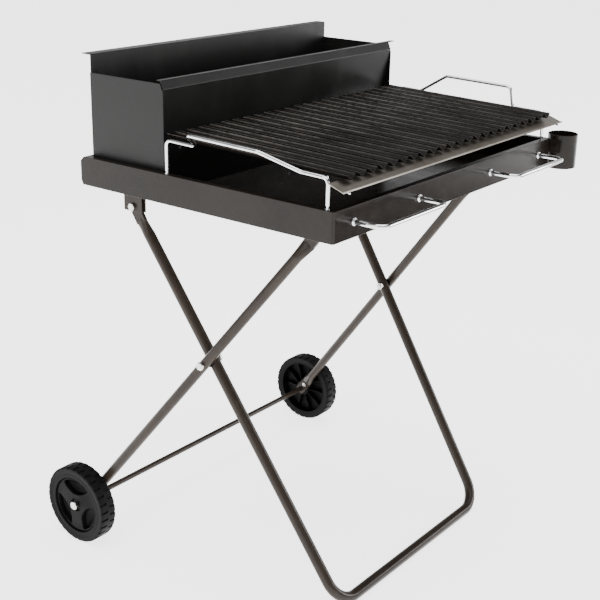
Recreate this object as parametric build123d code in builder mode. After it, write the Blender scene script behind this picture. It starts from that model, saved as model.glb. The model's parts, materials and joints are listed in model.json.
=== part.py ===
"""Folding barbecue trolley: tray, ember box, lift-off grill rack and crossed folding legs.

Millimetres.  +Z is up, +X is to the right seen from the front, +Y is to the back.
The origin is on the ground, under the middle of the whole object.
"""

import os
from math import atan2, cos, degrees, hypot, radians, sin

from build123d import *

os.makedirs("parts", exist_ok=True)

# ---------------------------------------------------------------- tray
tray_width = 686.0
tray_depth = 530.0
tray_height = 49.0
tray_bottom = 697.0
tray_sheet = 1.2
tray_corner = 5.0
rim_width = 12.0
rear_wall_inset = 9.0
rear_clip = 8.0

# ---------------------------------------------------------------- ember box
box_inset = 18.0
box_rear_gap = 1.8
box_depth = 166.0
box_sheet = 1.5
box_side_height = 187.0
box_rear_height = 217.0
box_front_height = 192.0
box_front_fold = 14.0
box_front_foot = 31.0
box_front_lean = 6.0
rear_flange = 20.0
front_flange = 9.0
front_flange_tab = 20.0
box_foot = 14.0
box_lap = 14.0

# ---------------------------------------------------------------- grill rack
rack_slope = 1.6
bar_count = 23
bar_inset = 33.0
bar_width = 22.0
bar_depth = 8.5
bar_sheet = 1.6
bar_rear_gap = 3.0
bar_overhang = 5.0
bar_rise = 61.0
rod_radius = 2.75
rear_rod_inset = 44.0
front_rod_inset = 92.0
wire_radius = 3.0
wire_bend = 8.0
wire_rear_inset = 14.0
wire_front_inset = 16.5
rack_pin_radius = 2.0
rack_pin_length = 13.0
rack_collar_radius = 3.6
rack_collar_height = 1.6
rack_neck = 6.0
grip_height = 37.0
grip_length = 140.0
grip_ramp = 58.0
grip_drop_lean = 6.0
grip_start = 20.0
left_grip_tilt = 50.0
right_grip_tilt = 0.0

# ---------------------------------------------------------------- grease gutter
gutter_overhang = 3.0
gutter_sheet = 1.0
gutter_slope_run = 28.0
gutter_slope_drop = 10.0
gutter_lip_run = 1.0
gutter_lip_rise = 3.0
gutter_setback = 6.5
gutter_drop = 2.0
hook_radius = 1.5

# ---------------------------------------------------------------- front handles
handle_radius = 4.0
handle_span = 179.0
handle_reach = 53.0
handle_bend = 16.0
handle_inset = 139.0
handle_drop = 23.5
collar_radius = 6.5
collar_thickness = 4.0
nut_flats = 13.0
nut_height = 5.0

# ---------------------------------------------------------------- cup holder
cup_radius = 27.7
cup_height = 63.0
cup_wall = 1.5
cup_overhang = 10.5
cup_rise = 6.0
strap_sheet = 2.0
strap_length = 62.0
strap_height = 24.0

# ---------------------------------------------------------------- legs
ground = 0.0
u_tube_radius = 10.0
w_tube_radius = 9.0
tube_wall = 1.5
rear_pivot_inset = 62.0
rear_pivot_drop = 41.0
u_top_inset = 64.0
u_taper = 44.0
u_foot_inset = 39.0
u_bend = 48.0
cross_share = 0.384
axle_overhang = 31.0
leg_gap = 4.43
w_splay = 80.0
catch_drop = 23.0
tongue_sheet = 6.0
tongue_width = 22.0
tongue_length = 30.0
tongue_taper = 25.0
pivot_radius = 4.0
head_radius = 7.5
head_height = 5.0
washer_radius = 9.0
axle_tube_wall = 1.5
axle_rivet_offset = 17.0

# ---------------------------------------------------------------- brackets
bracket_sheet = 2.0
bracket_length = 42.0
bracket_overhang = 8.0
catch_length = 52.0
catch_flange = 24.0
catch_lip = 6.0
rivet_radius = 2.5
rivet_head_radius = 4.5
rivet_head_height = 1.8

# ---------------------------------------------------------------- wheels
wheel_radius = 75.0
tyre_depth = 12.0
wheel_width = 34.0
groove_count = 30
groove_depth = 2.2
groove_share = 0.3
hub_radius = 17.0
rim_thickness = 5.0
web_thickness = 4.0
spoke_count = 3
pocket_rim_radius = 50.0
pocket_offset = 62.0
pocket_radius = 40.0
rib_count = 10
rib_thickness = 2.4
axle_bolt_radius = 4.0
axle_cap_radius = 8.0
axle_cap_height = 4.0

# ---------------------------------------------------------------- clearances
running_gap = 0.08
fit_gap = 0.05
side_gap = 0.5
face_gap = 0.4
loose_gap = 0.3

# ---------------------------------------------------------------- derived positions
tray_top = tray_bottom + tray_height
tray_floor = tray_bottom + tray_sheet
half_width = tray_width / 2
half_depth = tray_depth / 2
front_y = -half_depth
box_width = tray_width - 2 * box_inset
box_rear_y = half_depth - rear_wall_inset - tray_sheet - box_rear_gap
box_front_y = box_rear_y - box_depth
bar_span = tray_width - 2 * bar_inset
bar_rear_y = box_front_y - bar_rear_gap
bar_front_y = front_y - bar_overhang
bar_top_rear = tray_top + bar_rise
rear_rod_y = bar_rear_y - rear_rod_inset
front_rod_y = bar_front_y + front_rod_inset
wire_rear_y = bar_rear_y - wire_rear_inset
wire_front_y = front_y + wire_front_inset
gutter_length = tray_width + 2 * gutter_overhang
handle_centre_x = half_width - handle_inset
cup_y = front_y - cup_overhang
rear_pivot_y = half_depth - rear_pivot_inset
u_top_x = half_width - u_top_inset
u_foot_x = u_top_x - u_taper
u_foot_y = front_y + u_foot_inset
axle_y = half_depth + axle_overhang
axle_tube_radius = axle_bolt_radius + axle_tube_wall
rear_pivot_z = tray_bottom - rear_pivot_drop
foot_z = ground + u_tube_radius
axle_z = ground + wheel_radius
cross_y = rear_pivot_y + cross_share * (u_foot_y - rear_pivot_y)
cross_z = rear_pivot_z + cross_share * (foot_z - rear_pivot_z)
u_cross_x = u_top_x + cross_share * (u_foot_x - u_top_x)
catch_z = tray_bottom - catch_drop
catch_share = (catch_z - cross_z) / (cross_z - axle_z)
catch_y = cross_y - catch_share * (axle_y - cross_y)
w_cross_share = catch_share / (1 + catch_share)
w_cross_x = u_cross_x + u_tube_radius + leg_gap + w_tube_radius
w_top_x = w_cross_x - w_cross_share * w_splay
w_axle_x = w_top_x + w_splay
slope = radians(rack_slope)
wire_x = half_width - rim_width / 2 - 1
wheel_inner_x = w_axle_x + tongue_sheet / 2 + side_gap
wheel_outer_x = wheel_inner_x + wheel_width
left_reach = wheel_outer_x + side_gap + axle_cap_height
right_reach = half_width + strap_sheet + 2 * cup_radius
front_reach = half_depth + handle_reach + handle_radius
rear_reach = axle_y + wheel_radius
to_origin = Location(((left_reach - right_reach) / 2, (front_reach - rear_reach) / 2, 0))


def save(shape, name):
    """Label one finished piece, carry it to the shared origin and write it."""
    placed = shape.moved(to_origin)
    placed.label = name
    export_step(placed, "parts/" + name + ".step")


def save_pair(shape, stem):
    """Write a piece modelled on the right and its mirror image on the left."""
    save(shape, stem + "_right")
    save(mirror(shape, about=Plane.YZ), stem + "_left")


def save_both(shape, name):
    """Write right-hand fasteners and their mirror images as one group of solids."""
    save(Compound(children=shape.solids() + mirror(shape, about=Plane.YZ).solids()), name)


def rack_top(y):
    """Height of the sloping grill surface at the given distance back."""
    return bar_top_rear - (bar_rear_y - y) * sin(slope)


# ================================================================ tray
with BuildPart() as tray_pan:
    with BuildSketch(Plane.XY.offset(tray_bottom)):
        with Locations((0, -rear_wall_inset / 2)):
            RectangleRounded(tray_width, tray_depth - rear_wall_inset, tray_corner)
    extrude(amount=tray_height)
    with BuildSketch(Plane.XY.offset(tray_floor)):
        with Locations((0, -rear_wall_inset / 2)):
            RectangleRounded(
                tray_width - 2 * tray_sheet,
                tray_depth - rear_wall_inset - 2 * tray_sheet,
                tray_corner - tray_sheet,
            )
    extrude(amount=tray_height - 2 * tray_sheet, mode=Mode.SUBTRACT)
    with BuildSketch(Plane.XY.offset(tray_top - tray_sheet)):
        with Locations((0, (rim_width - rear_wall_inset - tray_sheet) / 2)):
            Rectangle(tray_width - 2 * rim_width, tray_depth - rear_wall_inset - rim_width - tray_sheet)
    extrude(amount=tray_sheet, mode=Mode.SUBTRACT)
    # the side walls run on past the rear wall, with clipped corners
    for side in (-1, 1):
        with BuildSketch(Plane.YZ.offset(side * (half_width - tray_sheet / 2))):
            with BuildLine():
                Polyline(
                    (half_depth - rear_wall_inset - tray_corner, tray_bottom),
                    (half_depth - rear_clip / 2, tray_bottom),
                    (half_depth, tray_bottom + rear_clip),
                    (half_depth, tray_top - rear_clip),
                    (half_depth - rear_clip, tray_top),
                    (half_depth - rear_wall_inset - tray_corner, tray_top),
                    close=True,
                )
            make_face()
        extrude(amount=tray_sheet / 2, both=True)
    # sockets in the rim for the four rack pins
    with BuildSketch(Plane.XY.offset(tray_top - tray_sheet)):
        with Locations(
            (wire_x, wire_rear_y),
            (wire_x, wire_front_y),
            (-wire_x, wire_rear_y),
            (-wire_x, wire_front_y),
        ):
            Circle(rack_pin_radius + loose_gap)
    extrude(amount=tray_sheet, mode=Mode.SUBTRACT)
    # holes in the front wall for the two handles
    with BuildSketch(Plane.XZ.offset(half_depth)):
        for side in (-1, 1):
            with Locations((side * handle_centre_x, tray_top - handle_drop)):
                with GridLocations(handle_span, 1, 2, 1):
                    Circle(handle_radius + running_gap)
    extrude(amount=-tray_sheet, mode=Mode.SUBTRACT)
    # rivet holes in the floor for the leg brackets, and in the wall for the cup strap
    with BuildSketch(Plane.XY.offset(tray_bottom)):
        for side in (-1, 1):
            with Locations((side * (w_top_x - tongue_sheet / 2 - side_gap - catch_flange / 2), catch_y)):
                with GridLocations(1, catch_length / 2, 1, 2):
                    Circle(rivet_radius + fit_gap)
            with Locations((side * u_top_x, rear_pivot_y)):
                with GridLocations(1, bracket_length / 2, 1, 2):
                    Circle(rivet_radius + fit_gap)
    extrude(amount=tray_sheet, mode=Mode.SUBTRACT)
    strap_rivet_y = cup_y + strap_length - strap_height / 2
    strap_z = tray_top - strap_height / 2 - tray_sheet * 2
    with BuildSketch(Plane.YZ.offset(half_width - tray_sheet)):
        with Locations((strap_rivet_y, strap_z)):
            Circle(rivet_radius + fit_gap)
    extrude(amount=tray_sheet, mode=Mode.SUBTRACT)
save(tray_pan.part, "tray_pan")

# ================================================================ front handles
handle_z = tray_top - handle_drop
handle_stub = tray_sheet + nut_height + 2
with BuildPart() as front_handle:
    with BuildLine(Plane.XY.offset(handle_z)) as handle_path:
        FilletPolyline(
            (handle_centre_x - handle_span / 2, front_y + handle_stub),
            (handle_centre_x - handle_span / 2, front_y - handle_reach),
            (handle_centre_x + handle_span / 2, front_y - handle_reach),
            (handle_centre_x + handle_span / 2, front_y + handle_stub),
            radius=handle_bend,
        )
    with BuildSketch(Plane(origin=handle_path.line @ 0, z_dir=handle_path.line % 0)):
        Circle(handle_radius)
    sweep(path=handle_path.line)
save_pair(front_handle.part, "front_handle")

with BuildPart() as handle_collars:
    with BuildSketch(Plane.XZ.offset(half_depth)):
        with Locations((handle_centre_x, handle_z)):
            with GridLocations(handle_span, 1, 2, 1):
                Circle(collar_radius)
                Circle(handle_radius + fit_gap, mode=Mode.SUBTRACT)
    extrude(amount=collar_thickness)
    chamfer(
        handle_collars.faces().sort_by(Axis.Y)[0:2].edges().filter_by(GeomType.CIRCLE).group_by(SortBy.RADIUS)[-1],
        1.2,
    )
save_both(handle_collars.part, "handle_collars")

with BuildPart() as handle_nuts:
    with BuildSketch(Plane.XZ.offset(half_depth - tray_sheet)):
        with Locations((handle_centre_x, handle_z)):
            with GridLocations(handle_span, 1, 2, 1):
                RegularPolygon(nut_flats / 2, 6, major_radius=False)
                Circle(handle_radius + fit_gap, mode=Mode.SUBTRACT)
    extrude(amount=-nut_height)
save_both(handle_nuts.part, "handle_nuts")

# ================================================================ cup holder
cup_x = half_width + strap_sheet + cup_radius
cup_base = tray_top + cup_rise - cup_height
with BuildPart() as cup_holder:
    with BuildSketch(Plane.XY.offset(cup_base)):
        with Locations((cup_x, cup_y)):
            Circle(cup_radius)
    extrude(amount=cup_height)
    with BuildSketch(Plane.XY.offset(cup_base + cup_wall)):
        with Locations((cup_x, cup_y)):
            Circle(cup_radius - cup_wall)
    extrude(amount=cup_height - cup_wall, mode=Mode.SUBTRACT)
    with BuildSketch(Plane.YZ.offset(half_width)):
        with Locations((cup_y, strap_z)):
            Circle(rivet_radius + fit_gap)
    extrude(amount=cup_radius, mode=Mode.SUBTRACT)
save(cup_holder.part, "cup_holder")

strap_mid_y = cup_y - strap_height / 2 + strap_length / 2
with BuildPart() as cup_strap:
    with BuildSketch(Plane.YZ.offset(half_width)):
        with Locations((strap_mid_y, strap_z)):
            RectangleRounded(strap_length, strap_height, 4)
        with Locations((cup_y, strap_z), (strap_rivet_y, strap_z)):
            Circle(rivet_radius + fit_gap, mode=Mode.SUBTRACT)
    extrude(amount=strap_sheet)
save(cup_strap.part, "cup_strap")

with BuildPart() as cup_screw:
    with BuildSketch(Plane.YZ.offset(half_width - rivet_head_height)):
        with Locations((cup_y, strap_z)):
            Circle(rivet_head_radius)
    extrude(amount=rivet_head_height)
    with BuildSketch(Plane.YZ.offset(half_width)):
        with Locations((cup_y, strap_z)):
            Circle(rivet_radius)
    extrude(amount=strap_sheet + cup_wall - loose_gap)
save(cup_screw.part, "cup_screw")

with BuildPart() as strap_rivet:
    with BuildSketch(Plane.YZ.offset(half_width - tray_sheet - rivet_head_height)):
        with Locations((strap_rivet_y, strap_z)):
            Circle(rivet_head_radius)
    extrude(amount=rivet_head_height)
    with BuildSketch(Plane.YZ.offset(half_width - tray_sheet)):
        with Locations((strap_rivet_y, strap_z)):
            Circle(rivet_radius)
    extrude(amount=tray_sheet + strap_sheet)
    with BuildSketch(Plane.YZ.offset(half_width + strap_sheet)):
        with Locations((strap_rivet_y, strap_z)):
            Circle(rivet_head_radius)
    extrude(amount=rivet_head_height)
save(strap_rivet.part, "cup_strap_rivet")

# ================================================================ ember box
box_half = box_width / 2
box_base = tray_floor
lap_gap = 0.05
inner_half = box_half - box_sheet - lap_gap
front_fold_z = box_base + box_front_height - box_front_fold
front_foot_y = box_front_y + box_front_foot

with BuildPart() as box_side:
    with BuildSketch(Plane.YZ.offset(box_half - box_sheet)):
        with BuildLine():
            Polyline(
                (box_front_y, box_base),
                (box_rear_y, box_base),
                (box_rear_y, box_base + box_side_height),
                (box_front_y + box_front_lean, box_base + box_side_height),
                (box_front_y, box_base + box_side_height - box_front_fold),
                close=True,
            )
        make_face()
    extrude(amount=box_sheet)
    with BuildSketch(Plane.XY.offset(box_base)):
        with Locations((box_half - box_foot / 2, (box_front_y + box_rear_y) / 2 + box_front_foot / 2)):
            Rectangle(box_foot, box_rear_y - box_front_y - box_front_foot - 4 * box_sheet - 2 * box_foot)
    extrude(amount=box_sheet)
save_pair(box_side.part, "box_side_panel")

with BuildPart() as box_rear:
    with BuildSketch(Plane.YZ.offset(-inner_half)):
        with BuildLine():
            Polyline(
                (box_rear_y, box_base),
                (box_rear_y, box_base + box_rear_height - box_sheet),
                (box_rear_y + rear_flange, box_base + box_rear_height - box_sheet),
                (box_rear_y + rear_flange, box_base + box_rear_height),
                (box_rear_y - box_sheet, box_base + box_rear_height),
                (box_rear_y - box_sheet, box_base + box_sheet),
                (box_rear_y - box_foot, box_base + box_sheet),
                (box_rear_y - box_foot, box_base),
                close=True,
            )
        make_face()
    extrude(amount=2 * inner_half)
    with BuildSketch(Plane.XY.offset(box_base + 2 * box_foot)):
        with Locations((0, box_rear_y - box_sheet / 2 - box_lap)):
            with GridLocations(2 * inner_half - box_sheet, 1, 2, 1):
                Rectangle(box_sheet, 2 * box_lap - box_sheet)
    extrude(amount=box_side_height - 3 * box_foot)
save(box_rear.part, "box_rear_panel")

with BuildPart() as box_front:
    with BuildSketch(Plane.YZ.offset(-inner_half)):
        with BuildLine():
            Polyline(
                (front_foot_y, box_base),
                (box_front_y, front_fold_z),
                (box_front_y + box_front_lean, box_base + box_front_height),
                (box_front_y + box_front_lean + front_flange, box_base + box_front_height),
                (box_front_y + box_front_lean + front_flange, box_base + box_front_height - box_sheet),
                (box_front_y + box_front_lean + box_sheet, box_base + box_front_height - box_sheet),
                (box_front_y + box_sheet, front_fold_z),
                (front_foot_y + box_sheet, box_base),
                close=True,
            )
        make_face()
    extrude(amount=2 * inner_half)
    # end laps folded back against the side panels
    for side in (-1, 1):
        with BuildSketch(Plane.YZ.offset(side * (inner_half - box_sheet / 2))):
            with BuildLine():
                Polyline(
                    (front_foot_y, box_base + 2 * box_sheet),
                    (box_front_y + box_sheet / 2, front_fold_z - box_sheet),
                    (box_front_y + box_lap * 2, front_fold_z - box_sheet),
                    (front_foot_y + box_lap * 2, box_base + 2 * box_sheet),
                    close=True,
                )
            make_face()
        extrude(amount=box_sheet / 2, both=True)
    # the top flange runs on past the right-hand side panel as a lifting tab
    with BuildSketch(Plane.XY.offset(box_base + box_front_height - box_sheet)):
        with Locations((inner_half + front_flange_tab / 2, box_front_y + box_front_lean + front_flange / 2)):
            Rectangle(front_flange_tab, front_flange)
    extrude(amount=box_sheet)
save(box_front.part, "box_front_panel")

# ================================================================ grill bars and cross rods
bar_pitch = bar_span / (bar_count - 1)
bar_plane = Plane(
    origin=(0, bar_rear_y, bar_top_rear),
    x_dir=(1, 0, 0),
    z_dir=(0, -cos(slope), -sin(slope)),
)
bar_run = (bar_rear_y - bar_front_y) / cos(slope)
bar_land = 1.5
with BuildSketch() as bar_section:
    with BuildLine():
        Polyline(
            (-bar_width / 2, 0),
            (-bar_width / 2 + 1.25 * bar_sheet, 0),
            (0, -bar_depth + 1.4 * bar_sheet),
            (bar_width / 2 - 1.25 * bar_sheet, 0),
            (bar_width / 2, 0),
            (bar_land, -bar_depth),
            (-bar_land, -bar_depth),
            close=True,
        )
    make_face()
with BuildPart() as grill_bars:
    with BuildSketch(bar_plane):
        with GridLocations(bar_pitch, 1, bar_count, 1):
            add(bar_section.sketch)
    extrude(amount=bar_run)
save(grill_bars.part, "grill_bars")

rod_drop = bar_depth + rod_radius + 0.02
rod_half = wire_x + wire_radius / 2
for rod_name, rod_y in (("rear_cross_rod", rear_rod_y), ("front_cross_rod", front_rod_y)):
    with BuildPart() as cross_rod:
        with BuildSketch(Plane.YZ.offset(-rod_half)):
            with Locations((rod_y - rod_drop * sin(slope), rack_top(rod_y) - rod_drop * cos(slope))):
                Circle(rod_radius)
        extrude(amount=2 * rod_half)
    save(cross_rod.part, rod_name)

# ================================================================ side wires with grips
wire_drop = bar_depth - wire_radius


def wire_z(y):
    """Height of the side wire's centre line at the given distance back."""
    return rack_top(y) - wire_drop


def side_wire(turn, tilt):
    """Build one side wire; turn is 1 with the ramp at the back, -1 with it at the front."""
    lean = radians(tilt)
    out = grip_height * sin(lean)
    up = grip_height * cos(lean)
    middle = (wire_rear_y + wire_front_y) / 2
    ramp_foot = middle + turn * (wire_rear_y - middle - 2.5 * grip_start)
    ramp_top = ramp_foot - turn * grip_ramp
    drop_top = ramp_top - turn * grip_length
    drop_foot = drop_top - turn * grip_drop_lean
    foot = tray_top + rack_neck
    points = [
        (wire_x, wire_rear_y, foot),
        (wire_x, wire_rear_y, wire_z(wire_rear_y)),
        (wire_x, ramp_foot, wire_z(ramp_foot)),
        (wire_x + out, ramp_top, wire_z(ramp_top) + up),
        (wire_x + out, drop_top, wire_z(drop_top) + up),
        (wire_x, drop_foot, wire_z(drop_foot)),
        (wire_x, wire_front_y, wire_z(wire_front_y)),
        (wire_x, wire_front_y, foot),
    ]
    if turn < 0:
        points[2:6] = reversed(points[2:6])
    with BuildPart() as wire:
        for start, end in zip(points, points[1:]):
            with BuildLine() as leg:
                Line(start, end)
            with BuildSketch(Plane(origin=leg.line @ 0, z_dir=leg.line % 0)):
                Circle(wire_radius)
            sweep(path=leg.line)
        with Locations(*points[1:-1]):
            Sphere(wire_radius)
        for y in (wire_rear_y, wire_front_y):
            with Locations((wire_x, y, tray_top + rack_neck / 2 + rack_collar_height / 2)):
                Cylinder(rack_pin_radius, rack_neck)
            with Locations((wire_x, y, tray_top + rack_collar_height / 2)):
                Cylinder(rack_collar_radius, rack_collar_height)
            with Locations((wire_x, y, tray_top + rack_collar_height - rack_pin_length / 2)):
                Cylinder(rack_pin_radius, rack_pin_length)
    return wire.part


save(side_wire(1, right_grip_tilt), "rack_wire_right")
save(mirror(side_wire(-1, left_grip_tilt), about=Plane.YZ), "rack_wire_left")

# ================================================================ grease gutter and its hooks
gutter_rear_y = wire_front_y - gutter_setback
gutter_rear_z = rack_top(gutter_rear_y) - bar_depth - gutter_drop
gutter_half = gutter_length / 2
valley_y = gutter_rear_y - gutter_slope_run
valley_z = gutter_rear_z - gutter_slope_drop
lip_y = valley_y - gutter_lip_run
lip_z = valley_z + gutter_lip_rise
with BuildPart() as gutter:
    with BuildSketch(Plane.YZ.offset(-gutter_half)):
        with BuildLine():
            Polyline((gutter_rear_y, gutter_rear_z), (valley_y, valley_z), (lip_y, lip_z))
            offset(amount=gutter_sheet, side=Side.RIGHT, kind=Kind.INTERSECTION)
        make_face()
    extrude(amount=gutter_length)
save(gutter.part, "grease_gutter")

hook_gap = gutter_sheet / 2 + loose_gap + hook_radius
slope_angle = atan2(gutter_slope_drop, gutter_slope_run)
hook_x = wire_x - 2 * wire_radius
with BuildPart() as gutter_hooks:
    with BuildLine(Plane.YZ.offset(hook_x)) as hook_line:
        FilletPolyline(
            (wire_front_y + 2 * wire_radius, wire_z(wire_front_y) + hook_radius),
            (wire_front_y + wire_radius, gutter_rear_z - 2 * hook_gap),
            (gutter_rear_y, gutter_rear_z - hook_gap / cos(slope_angle)),
            (valley_y, valley_z - hook_gap / cos(slope_angle)),
            radius=2.2,
        )
    with BuildSketch(Plane(origin=hook_line.line @ 0, z_dir=hook_line.line % 0)):
        Circle(hook_radius)
    sweep(path=hook_line.line)
    with BuildSketch(Plane.YZ.offset(hook_x - hook_radius)):
        with Locations((wire_front_y + 2 * wire_radius, wire_z(wire_front_y))):
            Circle(hook_radius)
    extrude(amount=wire_x - wire_radius - fit_gap - hook_x + hook_radius)
save_both(gutter_hooks.part, "gutter_hooks")


# ================================================================ legs
def flat_end(eye_x, eye_y, eye_z, along, drift, tube_radius, bolt_radius, extra_hole=0.0):
    """Flattened tube end: an eye for a bolt along X, blended into the round tube."""
    ahead = tongue_length + tongue_taper
    with BuildPart() as end:
        with BuildSketch(Plane.YZ.offset(eye_x - tongue_sheet / 2)):
            with Locations((eye_y, eye_z)):
                Circle(tongue_width / 2)
            with Locations(
                Location(
                    (eye_y + along[0] * tongue_length / 2, eye_z + along[1] * tongue_length / 2),
                    degrees(atan2(along[1], along[0])),
                )
            ):
                Rectangle(tongue_length, tongue_width)
        extrude(amount=tongue_sheet)
        direction = (0, along[0], along[1])
        near = (eye_x, eye_y + along[0] * (tongue_length - 6), eye_z + along[1] * (tongue_length - 6))
        far = (eye_x + drift * ahead, eye_y + along[0] * ahead, eye_z + along[1] * ahead)
        with BuildSketch(Plane(origin=near, x_dir=(1, 0, 0), z_dir=direction)):
            Ellipse(tongue_sheet / 2 + 0.4, tongue_width / 2 + 1.2)
        tilted = (drift, along[0], along[1])
        with BuildSketch(Plane(origin=far, x_dir=(1, 0, -drift / along[1]), z_dir=tilted)):
            Circle(tube_radius)
        loft()
        with BuildSketch(Plane.YZ.offset(eye_x - tongue_width)):
            with Locations((eye_y, eye_z)):
                Circle(bolt_radius + running_gap)
            if extra_hole:
                with Locations((eye_y + along[0] * extra_hole, eye_z + along[1] * extra_hole)):
                    Circle(rivet_radius + fit_gap)
        extrude(amount=2 * tongue_width, mode=Mode.SUBTRACT)
    return end.part, far


def unit(run, rise):
    """Unit vector in the side view."""
    size = hypot(run, rise)
    return (run / size, rise / size)


# the inner U-shaped leg, hinged under the back of the tray
u_run = hypot(u_foot_y - rear_pivot_y, foot_z - rear_pivot_z)
u_along = unit(u_foot_y - rear_pivot_y, foot_z - rear_pivot_z)
u_drift = (u_foot_x - u_top_x) / u_run
u_eye, u_far = flat_end(u_top_x, rear_pivot_y, rear_pivot_z, u_along, u_drift, u_tube_radius, pivot_radius)
u_start = tongue_length + tongue_taper
u_plane = Plane(origin=(0, rear_pivot_y, rear_pivot_z), x_dir=(1, 0, 0), z_dir=(0, -u_along[1], u_along[0]))
u_side = 1 if u_plane.y_dir.Z * u_along[1] > 0 else -1
with BuildPart() as u_leg_frame:
    with BuildLine(u_plane) as u_path:
        FilletPolyline(
            (-u_top_x - u_drift * u_start, u_side * u_start),
            (-u_foot_x, u_side * u_run),
            (u_foot_x, u_side * u_run),
            (u_top_x + u_drift * u_start, u_side * u_start),
            radius=u_bend,
        )
    with BuildSketch(Plane(origin=u_path.line @ 0, z_dir=u_path.line % 0)):
        Circle(u_tube_radius)
        Circle(u_tube_radius - tube_wall, mode=Mode.SUBTRACT)
    sweep(path=u_path.line)
    add(u_eye)
    add(mirror(u_eye, about=Plane.YZ))
    with BuildSketch(Plane.YZ.offset(-w_cross_x)):
        with Locations((cross_y, cross_z)):
            Circle(pivot_radius + fit_gap)
    extrude(amount=2 * w_cross_x, mode=Mode.SUBTRACT)
save(u_leg_frame.part, "u_leg_frame")

# the outer pair of legs that carry the wheels
w_run = hypot(axle_y - catch_y, axle_z - catch_z)
w_down = unit(axle_y - catch_y, axle_z - catch_z)
w_up = (-w_down[0], -w_down[1])
w_drift = (w_axle_x - w_top_x) / w_run
w_top_eye, w_top_far = flat_end(w_top_x, catch_y, catch_z, w_down, w_drift, w_tube_radius, pivot_radius)
w_low_eye, w_low_far = flat_end(
    w_axle_x, axle_y, axle_z, w_up, -w_drift, w_tube_radius, axle_bolt_radius, axle_rivet_offset
)
with BuildPart() as wheel_leg:
    with BuildLine() as w_path:
        Line(w_top_far, w_low_far)
    with BuildSketch(Plane(origin=w_path.line @ 0, z_dir=w_path.line % 0)):
        Circle(w_tube_radius)
        Circle(w_tube_radius - tube_wall, mode=Mode.SUBTRACT)
    sweep(path=w_path.line)
    add(w_top_eye)
    add(w_low_eye)
    with BuildSketch(Plane.YZ.offset(u_cross_x)):
        with Locations((cross_y, cross_z)):
            Circle(pivot_radius + running_gap)
    extrude(amount=3 * w_tube_radius + w_cross_x - u_cross_x, mode=Mode.SUBTRACT)
save_pair(wheel_leg.part, "wheel_leg_tube")

# bolts, spacers and nuts where the legs cross
spacer_start = u_cross_x + u_tube_radius + washer_radius * abs(u_drift) + running_gap
spacer_end = w_cross_x - w_tube_radius - washer_radius * w_drift - loose_gap
cross_outer = w_cross_x + w_tube_radius + 1.2
cross_inner = u_cross_x - u_tube_radius - 0.8
with BuildPart() as cross_bolts:
    with BuildSketch(Plane.YZ.offset(cross_inner - nut_height - 2)):
        with Locations((cross_y, cross_z)):
            Circle(pivot_radius)
    extrude(amount=cross_outer - cross_inner + nut_height + 2)
    with BuildSketch(Plane.YZ.offset(cross_outer)):
        with Locations((cross_y, cross_z)):
            RegularPolygon(nut_flats / 2, 6, major_radius=False)
    extrude(amount=head_height)
save_both(cross_bolts.part, "cross_bolts")

with BuildPart() as cross_nuts:
    with BuildSketch(Plane.YZ.offset(cross_inner - nut_height)):
        with Locations((cross_y, cross_z)):
            RegularPolygon(nut_flats / 2, 6, major_radius=False)
            Circle(pivot_radius + fit_gap, mode=Mode.SUBTRACT)
    extrude(amount=nut_height)
save_both(cross_nuts.part, "cross_nuts")

with BuildPart() as cross_spacers:
    with BuildSketch(Plane.YZ.offset(spacer_start)):
        with Locations((cross_y, cross_z)):
            Circle(washer_radius)
            Circle(pivot_radius + fit_gap, mode=Mode.SUBTRACT)
    extrude(amount=spacer_end - spacer_start)
save_both(cross_spacers.part, "cross_spacers")

# the axle tube and its bolts
axle_half = w_axle_x - tongue_sheet / 2
with BuildPart() as axle_tube:
    with BuildSketch(Plane.YZ.offset(-axle_half)):
        with Locations((axle_y, axle_z)):
            Circle(axle_tube_radius)
            Circle(axle_bolt_radius + fit_gap, mode=Mode.SUBTRACT)
    extrude(amount=2 * axle_half)
save(axle_tube.part, "axle_tube")

axle_grip = 30.0
with BuildPart() as axle_bolts:
    with BuildSketch(Plane.YZ.offset(axle_half - axle_grip)):
        with Locations((axle_y, axle_z)):
            Circle(axle_bolt_radius)
    extrude(amount=axle_grip + tongue_sheet + side_gap + wheel_width + side_gap)
    with BuildSketch(Plane.YZ.offset(wheel_outer_x + side_gap)):
        with Locations((axle_y, axle_z)):
            Circle(axle_cap_radius)
    extrude(amount=axle_cap_height)
    fillet(axle_bolts.faces().sort_by(Axis.X)[-1].edges(), 1.5)
save_both(axle_bolts.part, "axle_bolts")

with BuildPart() as axle_rivets:
    rivet_y = axle_y + w_up[0] * axle_rivet_offset
    rivet_z = axle_z + w_up[1] * axle_rivet_offset
    with BuildSketch(Plane.YZ.offset(w_axle_x - tongue_sheet / 2)):
        with Locations((rivet_y, rivet_z)):
            Circle(rivet_radius)
    extrude(amount=tongue_sheet)
    with BuildSketch(Plane.YZ.offset(w_axle_x - tongue_sheet / 2 - rivet_head_height)):
        with Locations((rivet_y, rivet_z)):
            Circle(rivet_head_radius)
    extrude(amount=rivet_head_height)
save_both(axle_rivets.part, "axle_rivets")

# the catch pins at the top of the wheel legs
catch_plate_x = w_top_x - tongue_sheet / 2 - side_gap
with BuildPart() as catch_pins:
    with BuildSketch(Plane.YZ.offset(catch_plate_x - bracket_sheet - side_gap)):
        with Locations((catch_y, catch_z)):
            Circle(pivot_radius)
    extrude(amount=bracket_sheet + 2 * side_gap + tongue_sheet)
    with BuildSketch(Plane.YZ.offset(w_top_x + tongue_sheet / 2)):
        with Locations((catch_y, catch_z)):
            Circle(head_radius)
    extrude(amount=head_height)
    with BuildSketch(Plane.YZ.offset(catch_plate_x - bracket_sheet - side_gap - bracket_sheet)):
        with Locations((catch_y, catch_z)):
            Circle(head_radius)
    extrude(amount=bracket_sheet)
save_both(catch_pins.part, "catch_pins")

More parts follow.
